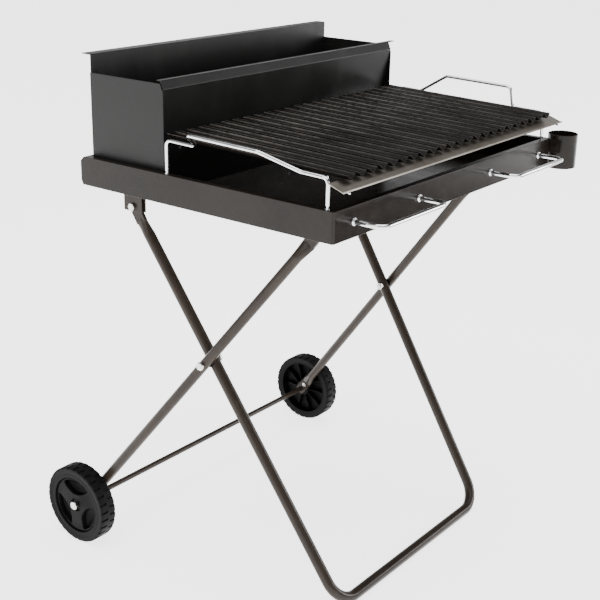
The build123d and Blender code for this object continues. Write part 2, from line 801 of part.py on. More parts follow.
# ================================================================ leg brackets under the tray
slot_top = catch_z + pivot_radius + face_gap
slot_low = catch_z - pivot_radius - catch_length / 2 * 0.1 - face_gap
with BuildPart() as front_catch:
    with BuildSketch(Plane.YZ.offset(catch_plate_x - bracket_sheet)):
        with Locations((catch_y, (slot_low - catch_lip + tray_bottom) / 2)):
            Rectangle(catch_length, tray_bottom - slot_low + catch_lip)
        with Locations((catch_y - catch_length / 2, (slot_low + slot_top) / 2)):
            Rectangle(catch_length + 2 * pivot_radius + 2 * face_gap, slot_top - slot_low, mode=Mode.SUBTRACT)
    extrude(amount=bracket_sheet)
    with BuildSketch(Plane.XY.offset(tray_bottom - bracket_sheet)):
        with Locations((catch_plate_x - catch_flange / 2, catch_y)):
            Rectangle(catch_flange, catch_length)
            with GridLocations(1, catch_length / 2, 1, 2):
                Circle(rivet_radius + fit_gap, mode=Mode.SUBTRACT)
    extrude(amount=bracket_sheet)
save_pair(front_catch.part, "front_catch")

cheek_gap = tongue_sheet / 2 + side_gap
with BuildPart() as rear_bracket:
    with BuildSketch(Plane.XY.offset(rear_pivot_z - bracket_overhang)):
        with Locations((u_top_x, rear_pivot_y)):
            Rectangle(2 * cheek_gap + 2 * bracket_sheet, bracket_length)
    extrude(amount=rear_pivot_drop + bracket_overhang)
    with BuildSketch(Plane.XY.offset(rear_pivot_z - bracket_overhang)):
        with Locations((u_top_x, rear_pivot_y)):
            Rectangle(2 * cheek_gap, bracket_length)
    extrude(amount=rear_pivot_drop + bracket_overhang - bracket_sheet, mode=Mode.SUBTRACT)
    with BuildSketch(Plane.YZ.offset(u_top_x - tongue_width)):
        with Locations((rear_pivot_y, rear_pivot_z)):
            Circle(pivot_radius + fit_gap)
    extrude(amount=2 * tongue_width, mode=Mode.SUBTRACT)
    with BuildSketch(Plane.XY.offset(tray_bottom - bracket_sheet)):
        with Locations((u_top_x, rear_pivot_y)):
            with GridLocations(1, bracket_length / 2, 1, 2):
                Circle(rivet_radius + fit_gap)
    extrude(amount=bracket_sheet, mode=Mode.SUBTRACT)
save_pair(rear_bracket.part, "rear_bracket")

with BuildPart() as rear_pivot_bolts:
    with BuildSketch(Plane.YZ.offset(u_top_x - cheek_gap - bracket_sheet - nut_height - 2)):
        with Locations((rear_pivot_y, rear_pivot_z)):
            Circle(pivot_radius)
    extrude(amount=2 * cheek_gap + 2 * bracket_sheet + nut_height + 2)
    with BuildSketch(Plane.YZ.offset(u_top_x + cheek_gap + bracket_sheet)):
        with Locations((rear_pivot_y, rear_pivot_z)):
            RegularPolygon(nut_flats / 2, 6, major_radius=False)
    extrude(amount=head_height)
save_both(rear_pivot_bolts.part, "rear_pivot_bolts")

with BuildPart() as rear_pivot_nuts:
    with BuildSketch(Plane.YZ.offset(u_top_x - cheek_gap - bracket_sheet - nut_height)):
        with Locations((rear_pivot_y, rear_pivot_z)):
            RegularPolygon(nut_flats / 2, 6, major_radius=False)
            Circle(pivot_radius + fit_gap, mode=Mode.SUBTRACT)
    extrude(amount=nut_height)
save_both(rear_pivot_nuts.part, "rear_pivot_nuts")

rivet_spots = [
    (catch_plate_x - catch_flange / 2, catch_y - catch_length / 4),
    (catch_plate_x - catch_flange / 2, catch_y + catch_length / 4),
    (u_top_x, rear_pivot_y - bracket_length / 4),
    (u_top_x, rear_pivot_y + bracket_length / 4),
]
tail = 1.2
with BuildPart() as bracket_rivets:
    with BuildSketch(Plane.XY.offset(tray_bottom - bracket_sheet)):
        with Locations(*rivet_spots):
            Circle(rivet_radius)
    extrude(amount=bracket_sheet + tray_sheet)
    with BuildSketch(Plane.XY.offset(tray_floor)):
        with Locations(*rivet_spots):
            Circle(rivet_head_radius)
    extrude(amount=rivet_head_height)
    with BuildSketch(Plane.XY.offset(tray_bottom - bracket_sheet - tail)):
        with Locations(*rivet_spots):
            Circle(rivet_radius + 0.8)
    extrude(amount=tail)
save_both(bracket_rivets.part, "bracket_rivets")

# ================================================================ wheels
rim_outer = wheel_radius - tyre_depth
rim_inner = rim_outer - rim_thickness
web_x = wheel_inner_x + wheel_width * 0.45
with BuildPart() as tyre:
    with BuildSketch(Plane.XY) as tyre_profile:
        with Locations((wheel_inner_x + wheel_width / 2, rim_outer + tyre_depth / 2)):
            RectangleRounded(wheel_width, tyre_depth, 3.0)
        with Locations((wheel_inner_x + wheel_width / 2, rim_outer + tyre_depth / 4)):
            Rectangle(wheel_width - 2, tyre_depth / 2)
    revolve(axis=Axis.X)
    with BuildSketch(Plane.YZ.offset(wheel_inner_x)):
        with PolarLocations(wheel_radius, groove_count):
            Rectangle(2 * groove_depth, groove_share * 2 * 3.14159 * wheel_radius / groove_count)
    extrude(amount=wheel_width * 0.4, mode=Mode.SUBTRACT)
    with BuildSketch(Plane.YZ.offset(wheel_inner_x + wheel_width * 0.6)):
        with PolarLocations(wheel_radius, groove_count, start_angle=180 / groove_count):
            Rectangle(2 * groove_depth, groove_share * 2 * 3.14159 * wheel_radius / groove_count)
    extrude(amount=wheel_width * 0.4, mode=Mode.SUBTRACT)
tyre_placed = tyre.part.moved(Location((0, axle_y, axle_z)))
save_pair(tyre_placed, "tyre")

with BuildPart() as wheel_hub:
    with BuildSketch(Plane.YZ.offset(wheel_inner_x + 1)):
        Circle(rim_outer)
        Circle(rim_inner, mode=Mode.SUBTRACT)
    extrude(amount=wheel_width - 2)
    with BuildSketch(Plane.YZ.offset(web_x)):
        Circle(rim_inner + 0.5)
    extrude(amount=web_thickness)
    with BuildSketch(Plane.YZ.offset(wheel_inner_x)):
        Circle(hub_radius)
    extrude(amount=wheel_width)
    # the outer disc has a lens-shaped pocket between each two of its broad spokes
    with BuildSketch(Plane.YZ.offset(web_x)):
        Circle(rim_inner + 0.5)
    extrude(amount=wheel_width * 0.55 - 2.5)
    with BuildSketch(Plane.YZ.offset(web_x + web_thickness)):
        with PolarLocations(pocket_offset, spoke_count, start_angle=-90):
            Circle(pocket_radius)
        Circle(pocket_rim_radius, mode=Mode.INTERSECT)
    extrude(amount=wheel_width, mode=Mode.SUBTRACT)
    # thin ribs stiffen the inside
    with BuildSketch(Plane.YZ.offset(wheel_inner_x + 3)):
        with PolarLocations((rim_inner + hub_radius) / 2, rib_count):
            Rectangle(rim_inner - hub_radius + 4, rib_thickness)
    extrude(amount=wheel_width * 0.45 - 3)
    # recess round the axle end
    with BuildSketch(Plane.YZ.offset(wheel_inner_x + wheel_width - 2)):
        Circle(hub_radius - 4)
    extrude(amount=2, mode=Mode.SUBTRACT)
    with BuildSketch(Plane.YZ.offset(wheel_inner_x)):
        Circle(axle_bolt_radius + running_gap)
    extrude(amount=wheel_width, mode=Mode.SUBTRACT)
hub_placed = wheel_hub.part.moved(Location((0, axle_y, axle_z)))
save_pair(hub_placed, "wheel_hub")
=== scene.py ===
"""Looks of the folding barbecue trolley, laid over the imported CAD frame.  Metres, +Z up."""

import json
import logging
import math
from dataclasses import dataclass, field
from enum import Enum
from typing import Sequence, Union

import bmesh
import bpy
from mathutils import Matrix, Vector

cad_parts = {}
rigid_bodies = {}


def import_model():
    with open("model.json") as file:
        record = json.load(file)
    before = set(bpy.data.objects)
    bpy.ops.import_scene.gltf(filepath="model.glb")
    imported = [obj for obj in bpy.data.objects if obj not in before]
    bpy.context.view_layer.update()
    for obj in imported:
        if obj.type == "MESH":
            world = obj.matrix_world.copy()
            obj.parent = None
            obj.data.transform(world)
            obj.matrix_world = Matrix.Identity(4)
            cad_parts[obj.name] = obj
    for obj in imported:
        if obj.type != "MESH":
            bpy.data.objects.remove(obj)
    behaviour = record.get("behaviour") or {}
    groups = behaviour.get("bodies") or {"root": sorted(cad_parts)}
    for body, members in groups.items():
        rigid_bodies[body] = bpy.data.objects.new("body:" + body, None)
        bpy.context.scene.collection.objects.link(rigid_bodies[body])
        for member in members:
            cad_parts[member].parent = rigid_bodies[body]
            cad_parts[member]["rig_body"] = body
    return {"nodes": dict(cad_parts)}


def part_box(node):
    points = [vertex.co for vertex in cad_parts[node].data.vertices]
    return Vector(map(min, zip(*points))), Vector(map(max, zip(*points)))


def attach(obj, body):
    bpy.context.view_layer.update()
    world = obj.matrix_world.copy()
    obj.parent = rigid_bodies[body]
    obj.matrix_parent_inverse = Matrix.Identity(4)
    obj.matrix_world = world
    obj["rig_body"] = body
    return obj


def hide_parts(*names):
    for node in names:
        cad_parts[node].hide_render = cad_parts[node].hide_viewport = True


log = logging.getLogger("barbecue")
MM = 0.001
TURN = 2 * math.pi
RACK_SLOPE = math.radians(1.6)
Colour = tuple[float, float, float]
Point = tuple[float, float, float]

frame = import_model()


class Slot(Enum):
    """Material slots of the record, by what they cover."""

    TRAY_PAINT = "tray_paint"
    LEG_PAINT = "leg_paint"
    EMBER_PAINT = "ember_paint"
    CHROME_WIRE = "chrome_wire"
    ZINC = "zinc"
    SEASONED_STEEL = "seasoned_steel"
    STAINLESS = "stainless"
    BLACK_PLASTIC = "black_plastic"
    TREAD = "tread"


# ------------------------------------------------------------------ shader graph
Input = Union["Sock", bpy.types.NodeSocket, float, int, tuple]


class Sock:
    """A value socket that reads like a number in shader expressions."""

    def __init__(self, graph: "Graph", socket: bpy.types.NodeSocket) -> None:
        """Wrap one output socket of a graph."""
        self.graph = graph
        self.socket = socket

    def _maths(self, operation: str, first: Input, second: Input = 0.0) -> "Sock":
        """Add one Math node.

        Args:
            operation: the Math node's operation.
            first: its first value.
            second: its second value.

        Returns:
            The node's result.
        """
        node = self.graph.node("ShaderNodeMath", {"operation": operation}, {0: first, 1: second})
        return Sock(self.graph, node.outputs[0])

    def __add__(self, other: Input) -> "Sock":
        """Sum."""
        return self._maths("ADD", self, other)

    def __radd__(self, other: Input) -> "Sock":
        """Reflected sum."""
        return self._maths("ADD", other, self)

    def __sub__(self, other: Input) -> "Sock":
        """Difference."""
        return self._maths("SUBTRACT", self, other)

    def __rsub__(self, other: Input) -> "Sock":
        """Reflected difference."""
        return self._maths("SUBTRACT", other, self)

    def __mul__(self, other: Input) -> "Sock":
        """Product."""
        return self._maths("MULTIPLY", self, other)

    def __rmul__(self, other: Input) -> "Sock":
        """Reflected product."""
        return self._maths("MULTIPLY", other, self)

    def __pow__(self, other: Input) -> "Sock":
        """Power."""
        return self._maths("POWER", self, other)

    def ramp(self, low: float, high: float, start: float = 0.0, end: float = 1.0) -> "Sock":
        """Map a stretch of values smoothly onto another.

        Args:
            low: value that becomes start.
            high: value that becomes end.
            start: first result.
            end: last result.

        Returns:
            The mapped value, clamped to start and end.
        """
        node = self.graph.node(
            "ShaderNodeMapRange",
            {"interpolation_type": "SMOOTHSTEP", "clamp": True},
            {"Value": self, "From Min": low, "From Max": high, "To Min": start, "To Max": end},
        )
        return Sock(self.graph, node.outputs[0])


class Graph:
    """Node tree of one material, ending in a Principled shader."""

    def __init__(self, name: str) -> None:
        """Start an empty material of the given name."""
        self.material = bpy.data.materials.new(name)
        self.material.use_nodes = True
        self.tree = self.material.node_tree
        self.tree.nodes.clear()
        self.shader = self.tree.nodes.new("ShaderNodeBsdfPrincipled")
        out = self.tree.nodes.new("ShaderNodeOutputMaterial")
        self.tree.links.new(self.shader.outputs[0], out.inputs[0])
        self.place = self.node("ShaderNodeTexCoord").outputs["Object"]

    def node(self, kind: str, settings: dict | None = None, inputs: dict | None = None) -> bpy.types.Node:
        """Add any node.

        Args:
            kind: the node's type.
            settings: properties that are set first; "stops" fills a colour ramp.
            inputs: values or links by socket name or number.

        Returns:
            The new node.
        """
        made = self.tree.nodes.new(kind)
        for key, value in (settings or {}).items():
            if key == "stops":
                elements = made.color_ramp.elements
                while len(elements) < len(value):
                    elements.new(0.5)
                for element, (where, colour) in zip(elements, value):
                    element.position = where
                    element.color = (*colour, 1.0)
            else:
                setattr(made, key, value)
        for key, value in (inputs or {}).items():
            self.feed(made.inputs[key], value)
        return made

    def feed(self, socket: bpy.types.NodeSocket, value: Input) -> None:
        """Link or set one input socket.

        Args:
            socket: the input to fill.
            value: a link, or a plain value.
        """
        if isinstance(value, Sock):
            self.tree.links.new(value.socket, socket)
        elif isinstance(value, bpy.types.NodeSocket):
            self.tree.links.new(value, socket)
        elif isinstance(value, tuple) and len(value) == 3 and socket.type == "RGBA":
            socket.default_value = (*value, 1.0)
        else:
            socket.default_value = value

    def surface(self, **inputs: Input) -> None:
        """Fill sockets of the Principled shader; an underscore stands for a space."""
        for key, value in inputs.items():
            self.feed(self.shader.inputs[key.replace("_", " ")], value)

    def stretched(self, scale: Point) -> bpy.types.NodeSocket:
        """Object coordinates multiplied along each axis."""
        return self.node("ShaderNodeMapping", None, {"Vector": self.place, "Scale": scale}).outputs[0]

    def noise(self, scale: float, detail: float = 3.0, rough: float = 0.55,
              vector: bpy.types.NodeSocket | None = None, warp: float = 0.0) -> Sock:
        """Fractal noise.

        Args:
            scale: cells per metre.
            detail: octaves.
            rough: share kept from octave to octave.
            vector: coordinates, or None for the object's own.
            warp: distortion.

        Returns:
            A value around one half.
        """
        made = self.node(
            "ShaderNodeTexNoise",
            None,
            {"Vector": vector or self.place, "Scale": scale, "Detail": detail, "Roughness": rough,
             "Distortion": warp},
        )
        return Sock(self, made.outputs[0])

    def axis(self, name: str) -> Sock:
        """One object coordinate, by its letter."""
        return Sock(self, self.node("ShaderNodeSeparateXYZ", None, {0: self.place}).outputs[name])

    def blend(self, share: Input, first: Input, second: Input) -> bpy.types.NodeSocket:
        """Mix two colours.

        Args:
            share: 0 for the first, 1 for the second.
            first: a colour or a link.
            second: a colour or a link.

        Returns:
            The mixed colour.
        """
        made = self.node("ShaderNodeMix", {"data_type": "RGBA"}, {0: share, 6: first, 7: second})
        return made.outputs[2]

    def bump(self, height: Sock, depth: float, strength: float = 1.0) -> None:
        """Raise the surface by a height map.

        Args:
            height: the map, 0 to 1.
            depth: metres for one unit of height.
            strength: share of the effect.
        """
        made = self.node("ShaderNodeBump", None, {"Height": height, "Distance": depth, "Strength": strength})
        self.surface(Normal=made.outputs[0])


# ------------------------------------------------------------------ finishes
@dataclass(frozen=True)
class GlossPaint:
    """Stoved brown paint on steel, with a slight orange-peel skin and handling marks."""

    name: str
    colour: Colour
    warm: Colour
    gloss: float = 0.22
    shine: float = 0.17
    peel: float = 520.0
    fleck: float = 0.25

    def build(self) -> bpy.types.Material:
        """Make the material."""
        graph = Graph(self.name)
        cloud = graph.noise(9.0, 4.0, 0.6).ramp(0.35, 0.68)
        mottle = graph.noise(85.0, 3.0, 0.6).ramp(0.3, 0.7)
        grain = graph.noise(1400.0, 2.0, 0.5).ramp(0.52, 0.72)
        tone = graph.blend(cloud, self.colour, self.warm)
        light = tuple(min(1.0, c * 1.5 + 0.004) for c in self.warm)
        tone = graph.blend(mottle * 0.15, tone, light)
        tone = graph.blend(grain * self.fleck, tone, tuple(c * 2.0 + 0.006 for c in self.warm))
        wipes = graph.noise(30.0, 5.0, 0.7, graph.stretched((1.0, 0.25, 1.0)), 0.6)
        scuffs = graph.noise(210.0, 2.0, 0.8, graph.stretched((0.12, 1.0, 1.0))).ramp(0.66, 0.74)
        rough = wipes.ramp(0.3, 0.75, self.gloss - 0.03, self.gloss + 0.05) + scuffs * 0.05
        graph.surface(Base_Color=tone, Roughness=rough, Metallic=0.0, Specular_IOR_Level=self.shine)
        peel = graph.noise(self.peel, 2.0, 0.4) * 0.7 + graph.noise(self.peel * 4.0, 1.0, 0.5) * 0.3
        graph.bump(peel, 0.00006, 0.55)
        return graph.material


@dataclass(frozen=True)
class PowderCoat:
    """Black heat-proof coat with a fine pebbled skin, dusted grey where ash has touched it."""

    name: str
    colour: Colour
    dust: Colour
    rough: float = 0.36

    def build(self) -> bpy.types.Material:
        """Make the material."""
        graph = Graph(self.name)
        cloud = graph.noise(7.0, 5.0, 0.65, None, 0.4).ramp(0.38, 0.72)
        speck = graph.noise(900.0, 2.0, 0.6).ramp(0.55, 0.75)
        streak = graph.noise(24.0, 4.0, 0.7, graph.stretched((1.0, 1.0, 0.18))).ramp(0.5, 0.8)
        tone = graph.blend(cloud * 0.4, self.colour, self.dust)
        tone = graph.blend(streak * 0.12, tone, tuple(c * 1.6 for c in self.dust))
        tone = graph.blend(speck * 0.5, tone, tuple(c * 2.2 for c in self.dust))
        rough = cloud * 0.1 + streak * 0.08 + (self.rough - 0.06)
        graph.surface(Base_Color=tone, Roughness=rough, Metallic=0.0, Specular_IOR_Level=0.2)
        skin = graph.noise(1100.0, 2.0, 0.6) * 0.6 + graph.noise(380.0, 2.0, 0.5) * 0.4
        graph.bump(skin, 0.00012, 0.6)
        return graph.material


@dataclass(frozen=True)
class PlatedMetal:
    """Plated wire or fastener: bright metal with faint drawing lines, haze and dull spots."""

    name: str
    bright: Colour
    dull: Colour
    rough: float
    spread: float = 0.1
    haze: float = 60.0

    def build(self) -> bpy.types.Material:
        """Make the material."""
        graph = Graph(self.name)
        cloud = graph.noise(self.haze, 4.0, 0.6, None, 0.3).ramp(0.36, 0.72)
        spots = graph.noise(self.haze * 9.0, 2.0, 0.7).ramp(0.66, 0.78)
        tone = graph.blend(cloud, self.bright, self.dull)
        tone = graph.blend(spots * 0.5, tone, tuple(c * 0.45 for c in self.dull))
        rough = cloud * self.spread + spots * 0.15 + self.rough
        graph.surface(Base_Color=tone, Roughness=rough, Metallic=1.0)
        graph.bump(graph.noise(900.0, 2.0, 0.5), 0.00003, 0.4)
        return graph.material


@dataclass(frozen=True)
class SeasonedSteel:
    """Heat-browned grill steel, with painted shade black in the channels and the upper lands rubbed bare,
    the bare crests lighter towards the rear as a painted highlight.
    """

    name: str
    dark: Colour
    brown: Colour
    # light bare-steel colour, for the worn crests and for the painted highlight towards the rear
    worn_and_highlight: Colour
    rear: Point
    slope: float
    reach: float

    def build(self) -> bpy.types.Material:
        """Make the material."""
        graph = Graph(self.name)
        depth = graph.axis("Z") - (graph.axis("Y") - self.rear[1]) * math.tan(self.slope) - self.rear[2]
        crest = depth.ramp(-0.0022, -0.0002)
        patch = graph.noise(26.0, 5.0, 0.7, graph.stretched((1.0, 0.35, 1.0)), 0.5)
        fine = graph.noise(420.0, 3.0, 0.7, graph.stretched((1.0, 0.25, 1.0)))
        # the crest wear is real; the share growing towards the rear is a painted highlight where the lands
        # catch the light
        rear_highlight_share = graph.axis("Y").ramp(self.rear[1] - self.reach, self.rear[1], 0.3, 1.0)
        bare_and_highlight = crest * (patch * 0.6 + fine * 0.6).ramp(0.42, 0.75) * rear_highlight_share
        tone = graph.blend(patch.ramp(0.35, 0.7), self.dark, self.brown)
        # painted shade: darker towards the bottom of each channel, by depth below the bar tops
        tone = graph.blend(depth.ramp(-0.0085, -0.003, 0.75, 0.0), tone, tuple(c * 0.35 for c in self.dark))
        tone = graph.blend(bare_and_highlight, tone, self.worn_and_highlight)
        rough = fine.ramp(0.3, 0.7, 0.42, 0.6) - bare_and_highlight * 0.14
        graph.surface(Base_Color=tone, Roughness=rough, Metallic=bare_and_highlight * 0.5, Specular_IOR_Level=0.08)
        scale = graph.noise(300.0, 4.0, 0.65) * 0.5 + fine * 0.5
        graph.bump(scale, 0.00025, 0.6)
        return graph.material


@dataclass(frozen=True)
class BrushedSheet:
    """Stainless sheet ground lengthwise, with a faint brown heat tint and grease marks."""

    name: str
    steel: Colour
    tint: Colour
    rough: float = 0.34

    def build(self) -> bpy.types.Material:
        """Make the material."""
        graph = Graph(self.name)
        lines = graph.noise(1.0, 4.0, 0.7, graph.stretched((6.0, 1500.0, 1500.0)))
        cloud = graph.noise(11.0, 4.0, 0.6, None, 0.6).ramp(0.42, 0.72)
        drips = graph.noise(45.0, 3.0, 0.7, graph.stretched((1.0, 0.3, 0.3))).ramp(0.6, 0.74)
        tone = graph.blend(cloud * 0.7, self.steel, self.tint)
        tone = graph.blend(lines.ramp(0.3, 0.7) * 0.2, tone, tuple(c * 0.7 for c in self.steel))
        tone = graph.blend(drips * 0.35, tone, tuple(c * 0.5 for c in self.tint))
        rough = lines.ramp(0.3, 0.7, self.rough, self.rough + 0.08) + drips * 0.1
        graph.surface(Base_Color=tone, Roughness=rough, Metallic=1.0)
        graph.bump(lines, 0.00002, 0.3)
        return graph.material


@dataclass(frozen=True)
class MouldedPlastic:
    """Black moulded plastic with a fine spark-eroded grain and dull scuffs."""

    name: str
    colour: Colour
    scuff: Colour
    rough: float = 0.45
    grain: float = 1300.0
    wear: float = 0.4

    def build(self) -> bpy.types.Material:
        """Make the material."""
        graph = Graph(self.name)
        cloud = graph.noise(18.0, 4.0, 0.6).ramp(0.35, 0.7)
        rub = graph.noise(120.0, 4.0, 0.75, None, 0.5).ramp(0.55, 0.75)
        tone = graph.blend(cloud * 0.5, self.colour, self.scuff)
        tone = graph.blend(rub * self.wear, tone, tuple(c * 1.7 for c in self.scuff))
        rough = cloud * 0.08 + rub * 0.12 + self.rough
        graph.surface(Base_Color=tone, Roughness=rough, Metallic=0.0, Specular_IOR_Level=0.06)
        graph.bump(graph.noise(self.grain, 2.0, 0.6), 0.0001, 0.5)
        return graph.material


# ------------------------------------------------------------------ mesh work
@dataclass
class Workshop:
    """Makes meshes, gives them their finish and puts them on their CAD body."""

    finishes: dict[Slot, bpy.types.Material] = field(default_factory=dict)

    def body_of(self, node: str) -> str:
        """Name of the CAD body a node rides on."""
        return frame["nodes"][node]["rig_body"]

    def place(self, mesh: bpy.types.Mesh, name: str, slot: Slot, nodes: Sequence[str]) -> bpy.types.Object:
        """Turn a mesh into a piece that stands for CAD nodes.

        Args:
            mesh: the finished mesh, in the shared frame.
            name: the piece's name.
            slot: its material slot.
            nodes: the CAD nodes it replaces; the first gives its body.

        Returns:
            The new object.
        """
        piece = bpy.data.objects.new(name, mesh)
        bpy.context.scene.collection.objects.link(piece)
        mesh.materials.clear()
        mesh.materials.append(self.finishes[slot])
        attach(piece, self.body_of(nodes[0]))
        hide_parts(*nodes)
        log.info("%s: %d faces on %s", name, len(mesh.polygons), self.body_of(nodes[0]))
        return piece

    def smooth(self, mesh: bpy.types.Mesh, angle: float = 40.0) -> None:
        """Shade a mesh smooth between edges sharper than the angle in degrees."""
        mesh.shade_smooth()
        mesh.set_sharp_from_angle(angle=math.radians(angle))

    def weighted(self, mesh: bpy.types.Mesh) -> bpy.types.Mesh:
        """Keep broad faces flat beside their rounded edges.

        Args:
            mesh: a smooth-shaded mesh.

        Returns:
            A copy with normals weighted by face area.
        """
        holder = bpy.data.objects.new("holder", mesh)
        bpy.context.scene.collection.objects.link(holder)
        tool = holder.modifiers.new("weights", "WEIGHTED_NORMAL")
        tool.keep_sharp = True
        tool.weight = 100
        made = bpy.data.meshes.new_from_object(holder.evaluated_get(bpy.context.evaluated_depsgraph_get()))
        bpy.data.objects.remove(holder)
        return made

    def soften(
        self, node: str, slot: Slot, edge: float, steps: int = 2, angle: float = 32.0
    ) -> bpy.types.Object:
        """Stand for a CAD node with the same shape, its edges rounded as folded or pressed metal.

        Args:
            node: the CAD node.
            slot: its material slot.
            edge: rounding in metres; 0 leaves the edges and only smooths the curved faces.
            steps: segments of each rounding.
            angle: edges sharper than this many degrees are rounded.

        Returns:
            The new object.
        """
        work = bmesh.new()
        work.from_mesh(frame["nodes"][node].data)
        bmesh.ops.remove_doubles(work, verts=work.verts, dist=0.000004)
        bmesh.ops.dissolve_limit(
            work, angle_limit=math.radians(0.4), verts=work.verts, edges=work.edges,
            use_dissolve_boundaries=False,
        )
        if edge > 0:
            limit = math.radians(angle)
            sharp = [e for e in work.edges if len(e.link_faces) == 2 and e.calc_face_angle(0.0) > limit]
            bmesh.ops.bevel(
                work, geom=sharp, offset=edge, offset_type="OFFSET", segments=steps, profile=0.5,
                affect="EDGES", clamp_overlap=False,
            )
        bmesh.ops.recalc_face_normals(work, faces=work.faces)
        mesh = bpy.data.meshes.new(node + "_finished")
        work.to_mesh(mesh)
        work.free()
        self.smooth(mesh, 38.0)
        return self.place(self.weighted(mesh), node + "_finished", slot, [node])

    def grid(self, rows: Sequence[Sequence[Vector]], name: str, around: bool, caps: bool) -> bpy.types.Mesh:
        """Skin a grid of points.

        Args:
            rows: rows of points, all of one length.
            name: mesh name.
            around: join each row's last point to its first.
            caps: close the first and last row.

        Returns:
            The mesh.
        """
        wide = len(rows[0])
        points = [tuple(p) for row in rows for p in row]
        faces: list[list[int]] = []
        for i in range(len(rows) - 1):
            for j in range(wide if around else wide - 1):
                k = (j + 1) % wide
                faces.append([i * wide + j, i * wide + k, (i + 1) * wide + k, (i + 1) * wide + j])
        if caps:
            faces.append(list(range(wide))[::-1])
            faces.append([(len(rows) - 1) * wide + j for j in range(wide)])
        mesh = bpy.data.meshes.new(name)
        mesh.from_pydata(points, [], faces)
        mesh.validate()
        return mesh

    def rounded(self, corners: Sequence[Vector], radius: float, steps: int = 8) -> list[Vector]:
        """Round the corners of a bent wire.

        Args:
            corners: the bends and both ends.
            radius: bend radius of the centre line.
            steps: points along each bend.

        Returns:
            Points along the centre line.
        """
        path = [corners[0]]
        for before, corner, after in zip(corners, corners[1:], corners[2:]):
            back = (before - corner).normalized()
            on = (after - corner).normalized()
            half = back.angle(on) / 2
            longest = min((before - corner).length, (after - corner).length) * 0.48
            run = min(radius / math.tan(half), longest)
            start = corner + back * run
            end = corner + on * run
            for step in range(steps + 1):
                t = step / steps
                path.append(start * (1 - t) ** 2 + corner * (2 * t * (1 - t)) + end * t * t)
        path.append(corners[-1])
        return path

    def tube(
        self, path: Sequence[Vector], radii: Sequence[float], name: str, sides: int = 20
    ) -> bpy.types.Mesh:
        """Sweep a round section along a line without twist.

        Args:
            path: points of the centre line.
            radii: radius at each point.
            name: mesh name.
            sides: points round the section.

        Returns:
            The closed mesh.
        """
        rows: list[list[Vector]] = []
        along = (path[1] - path[0]).normalized()
        across = along.orthogonal().normalized()
        for index, (centre, radius) in enumerate(zip(path, radii)):
            before = path[max(0, index - 1)]
            after = path[min(len(path) - 1, index + 1)]
            if (after - before).length > 1e-9:
                heading = (after - before).normalized()
                across = (along.rotation_difference(heading) @ across).normalized()
                along = heading
            side = along.cross(across)
            rows.append([
                centre + (across * math.cos(TURN * k / sides) + side * math.sin(TURN * k / sides)) * radius
                for k in range(sides)
            ])
        mesh = self.grid(rows, name, True, True)
        self.smooth(mesh, 35.0)
        return mesh


# ------------------------------------------------------------------ sub-assemblies
@dataclass
class Tray:
    """Pressed tray with its two front handles, cup holder and leg brackets."""

    shop: Workshop
    handle_radius: float = 4 * MM
    handle_bend: float = 16 * MM
    fold: float = 0.5 * MM

    def handles(self) -> None:
        """Bend the two chrome handles."""
        for side in ("left", "right"):
            node = "front_handle_" + side
            low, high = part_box(node)
            r = self.handle_radius
            z = (low.z + high.z) / 2
            corners = [
                Vector((low.x + r, high.y, z)),
                Vector((low.x + r, low.y + r, z)),
                Vector((high.x - r, low.y + r, z)),
                Vector((high.x - r, high.y, z)),
            ]
            path = self.shop.rounded(corners, self.handle_bend, 12)
            mesh = self.shop.tube(path, [r] * len(path), node + "_bar", 28)
            self.shop.place(mesh, node + "_bar", Slot.CHROME_WIRE, [node])

    def build(self) -> None:
        """Make and dress every piece of the tray."""
        self.shop.soften("tray_pan", Slot.TRAY_PAINT, self.fold, 3)
        self.shop.soften("cup_holder", Slot.TRAY_PAINT, 0.6 * MM, 3)
        self.shop.soften("cup_strap", Slot.TRAY_PAINT, 0.5 * MM)
        for side in ("left", "right"):
            self.shop.soften("rear_bracket_" + side, Slot.LEG_PAINT, 0.5 * MM)
            self.shop.soften("front_catch_" + side, Slot.LEG_PAINT, 0.5 * MM)
        self.shop.soften("handle_collars", Slot.CHROME_WIRE, 0.4 * MM)
        self.handles()
        for node in ("handle_nuts", "rear_pivot_nuts", "rear_pivot_bolts"):
            self.shop.soften(node, Slot.ZINC, 0.5 * MM)
        for node in ("cup_screw", "cup_strap_rivet", "bracket_rivets"):
            self.shop.soften(node, Slot.TRAY_PAINT, 0.6 * MM, 3)


@dataclass
class EmberBox:
    """Sheet-metal fire box that drops into the back of the tray."""

    shop: Workshop
    fold: float = 0.5 * MM

    def build(self) -> None:
        """Make and dress every panel of the box."""
        for node in ("box_rear_panel", "box_front_panel", "box_side_panel_left", "box_side_panel_right"):
            self.shop.soften(node, Slot.EMBER_PAINT, self.fold, 3)


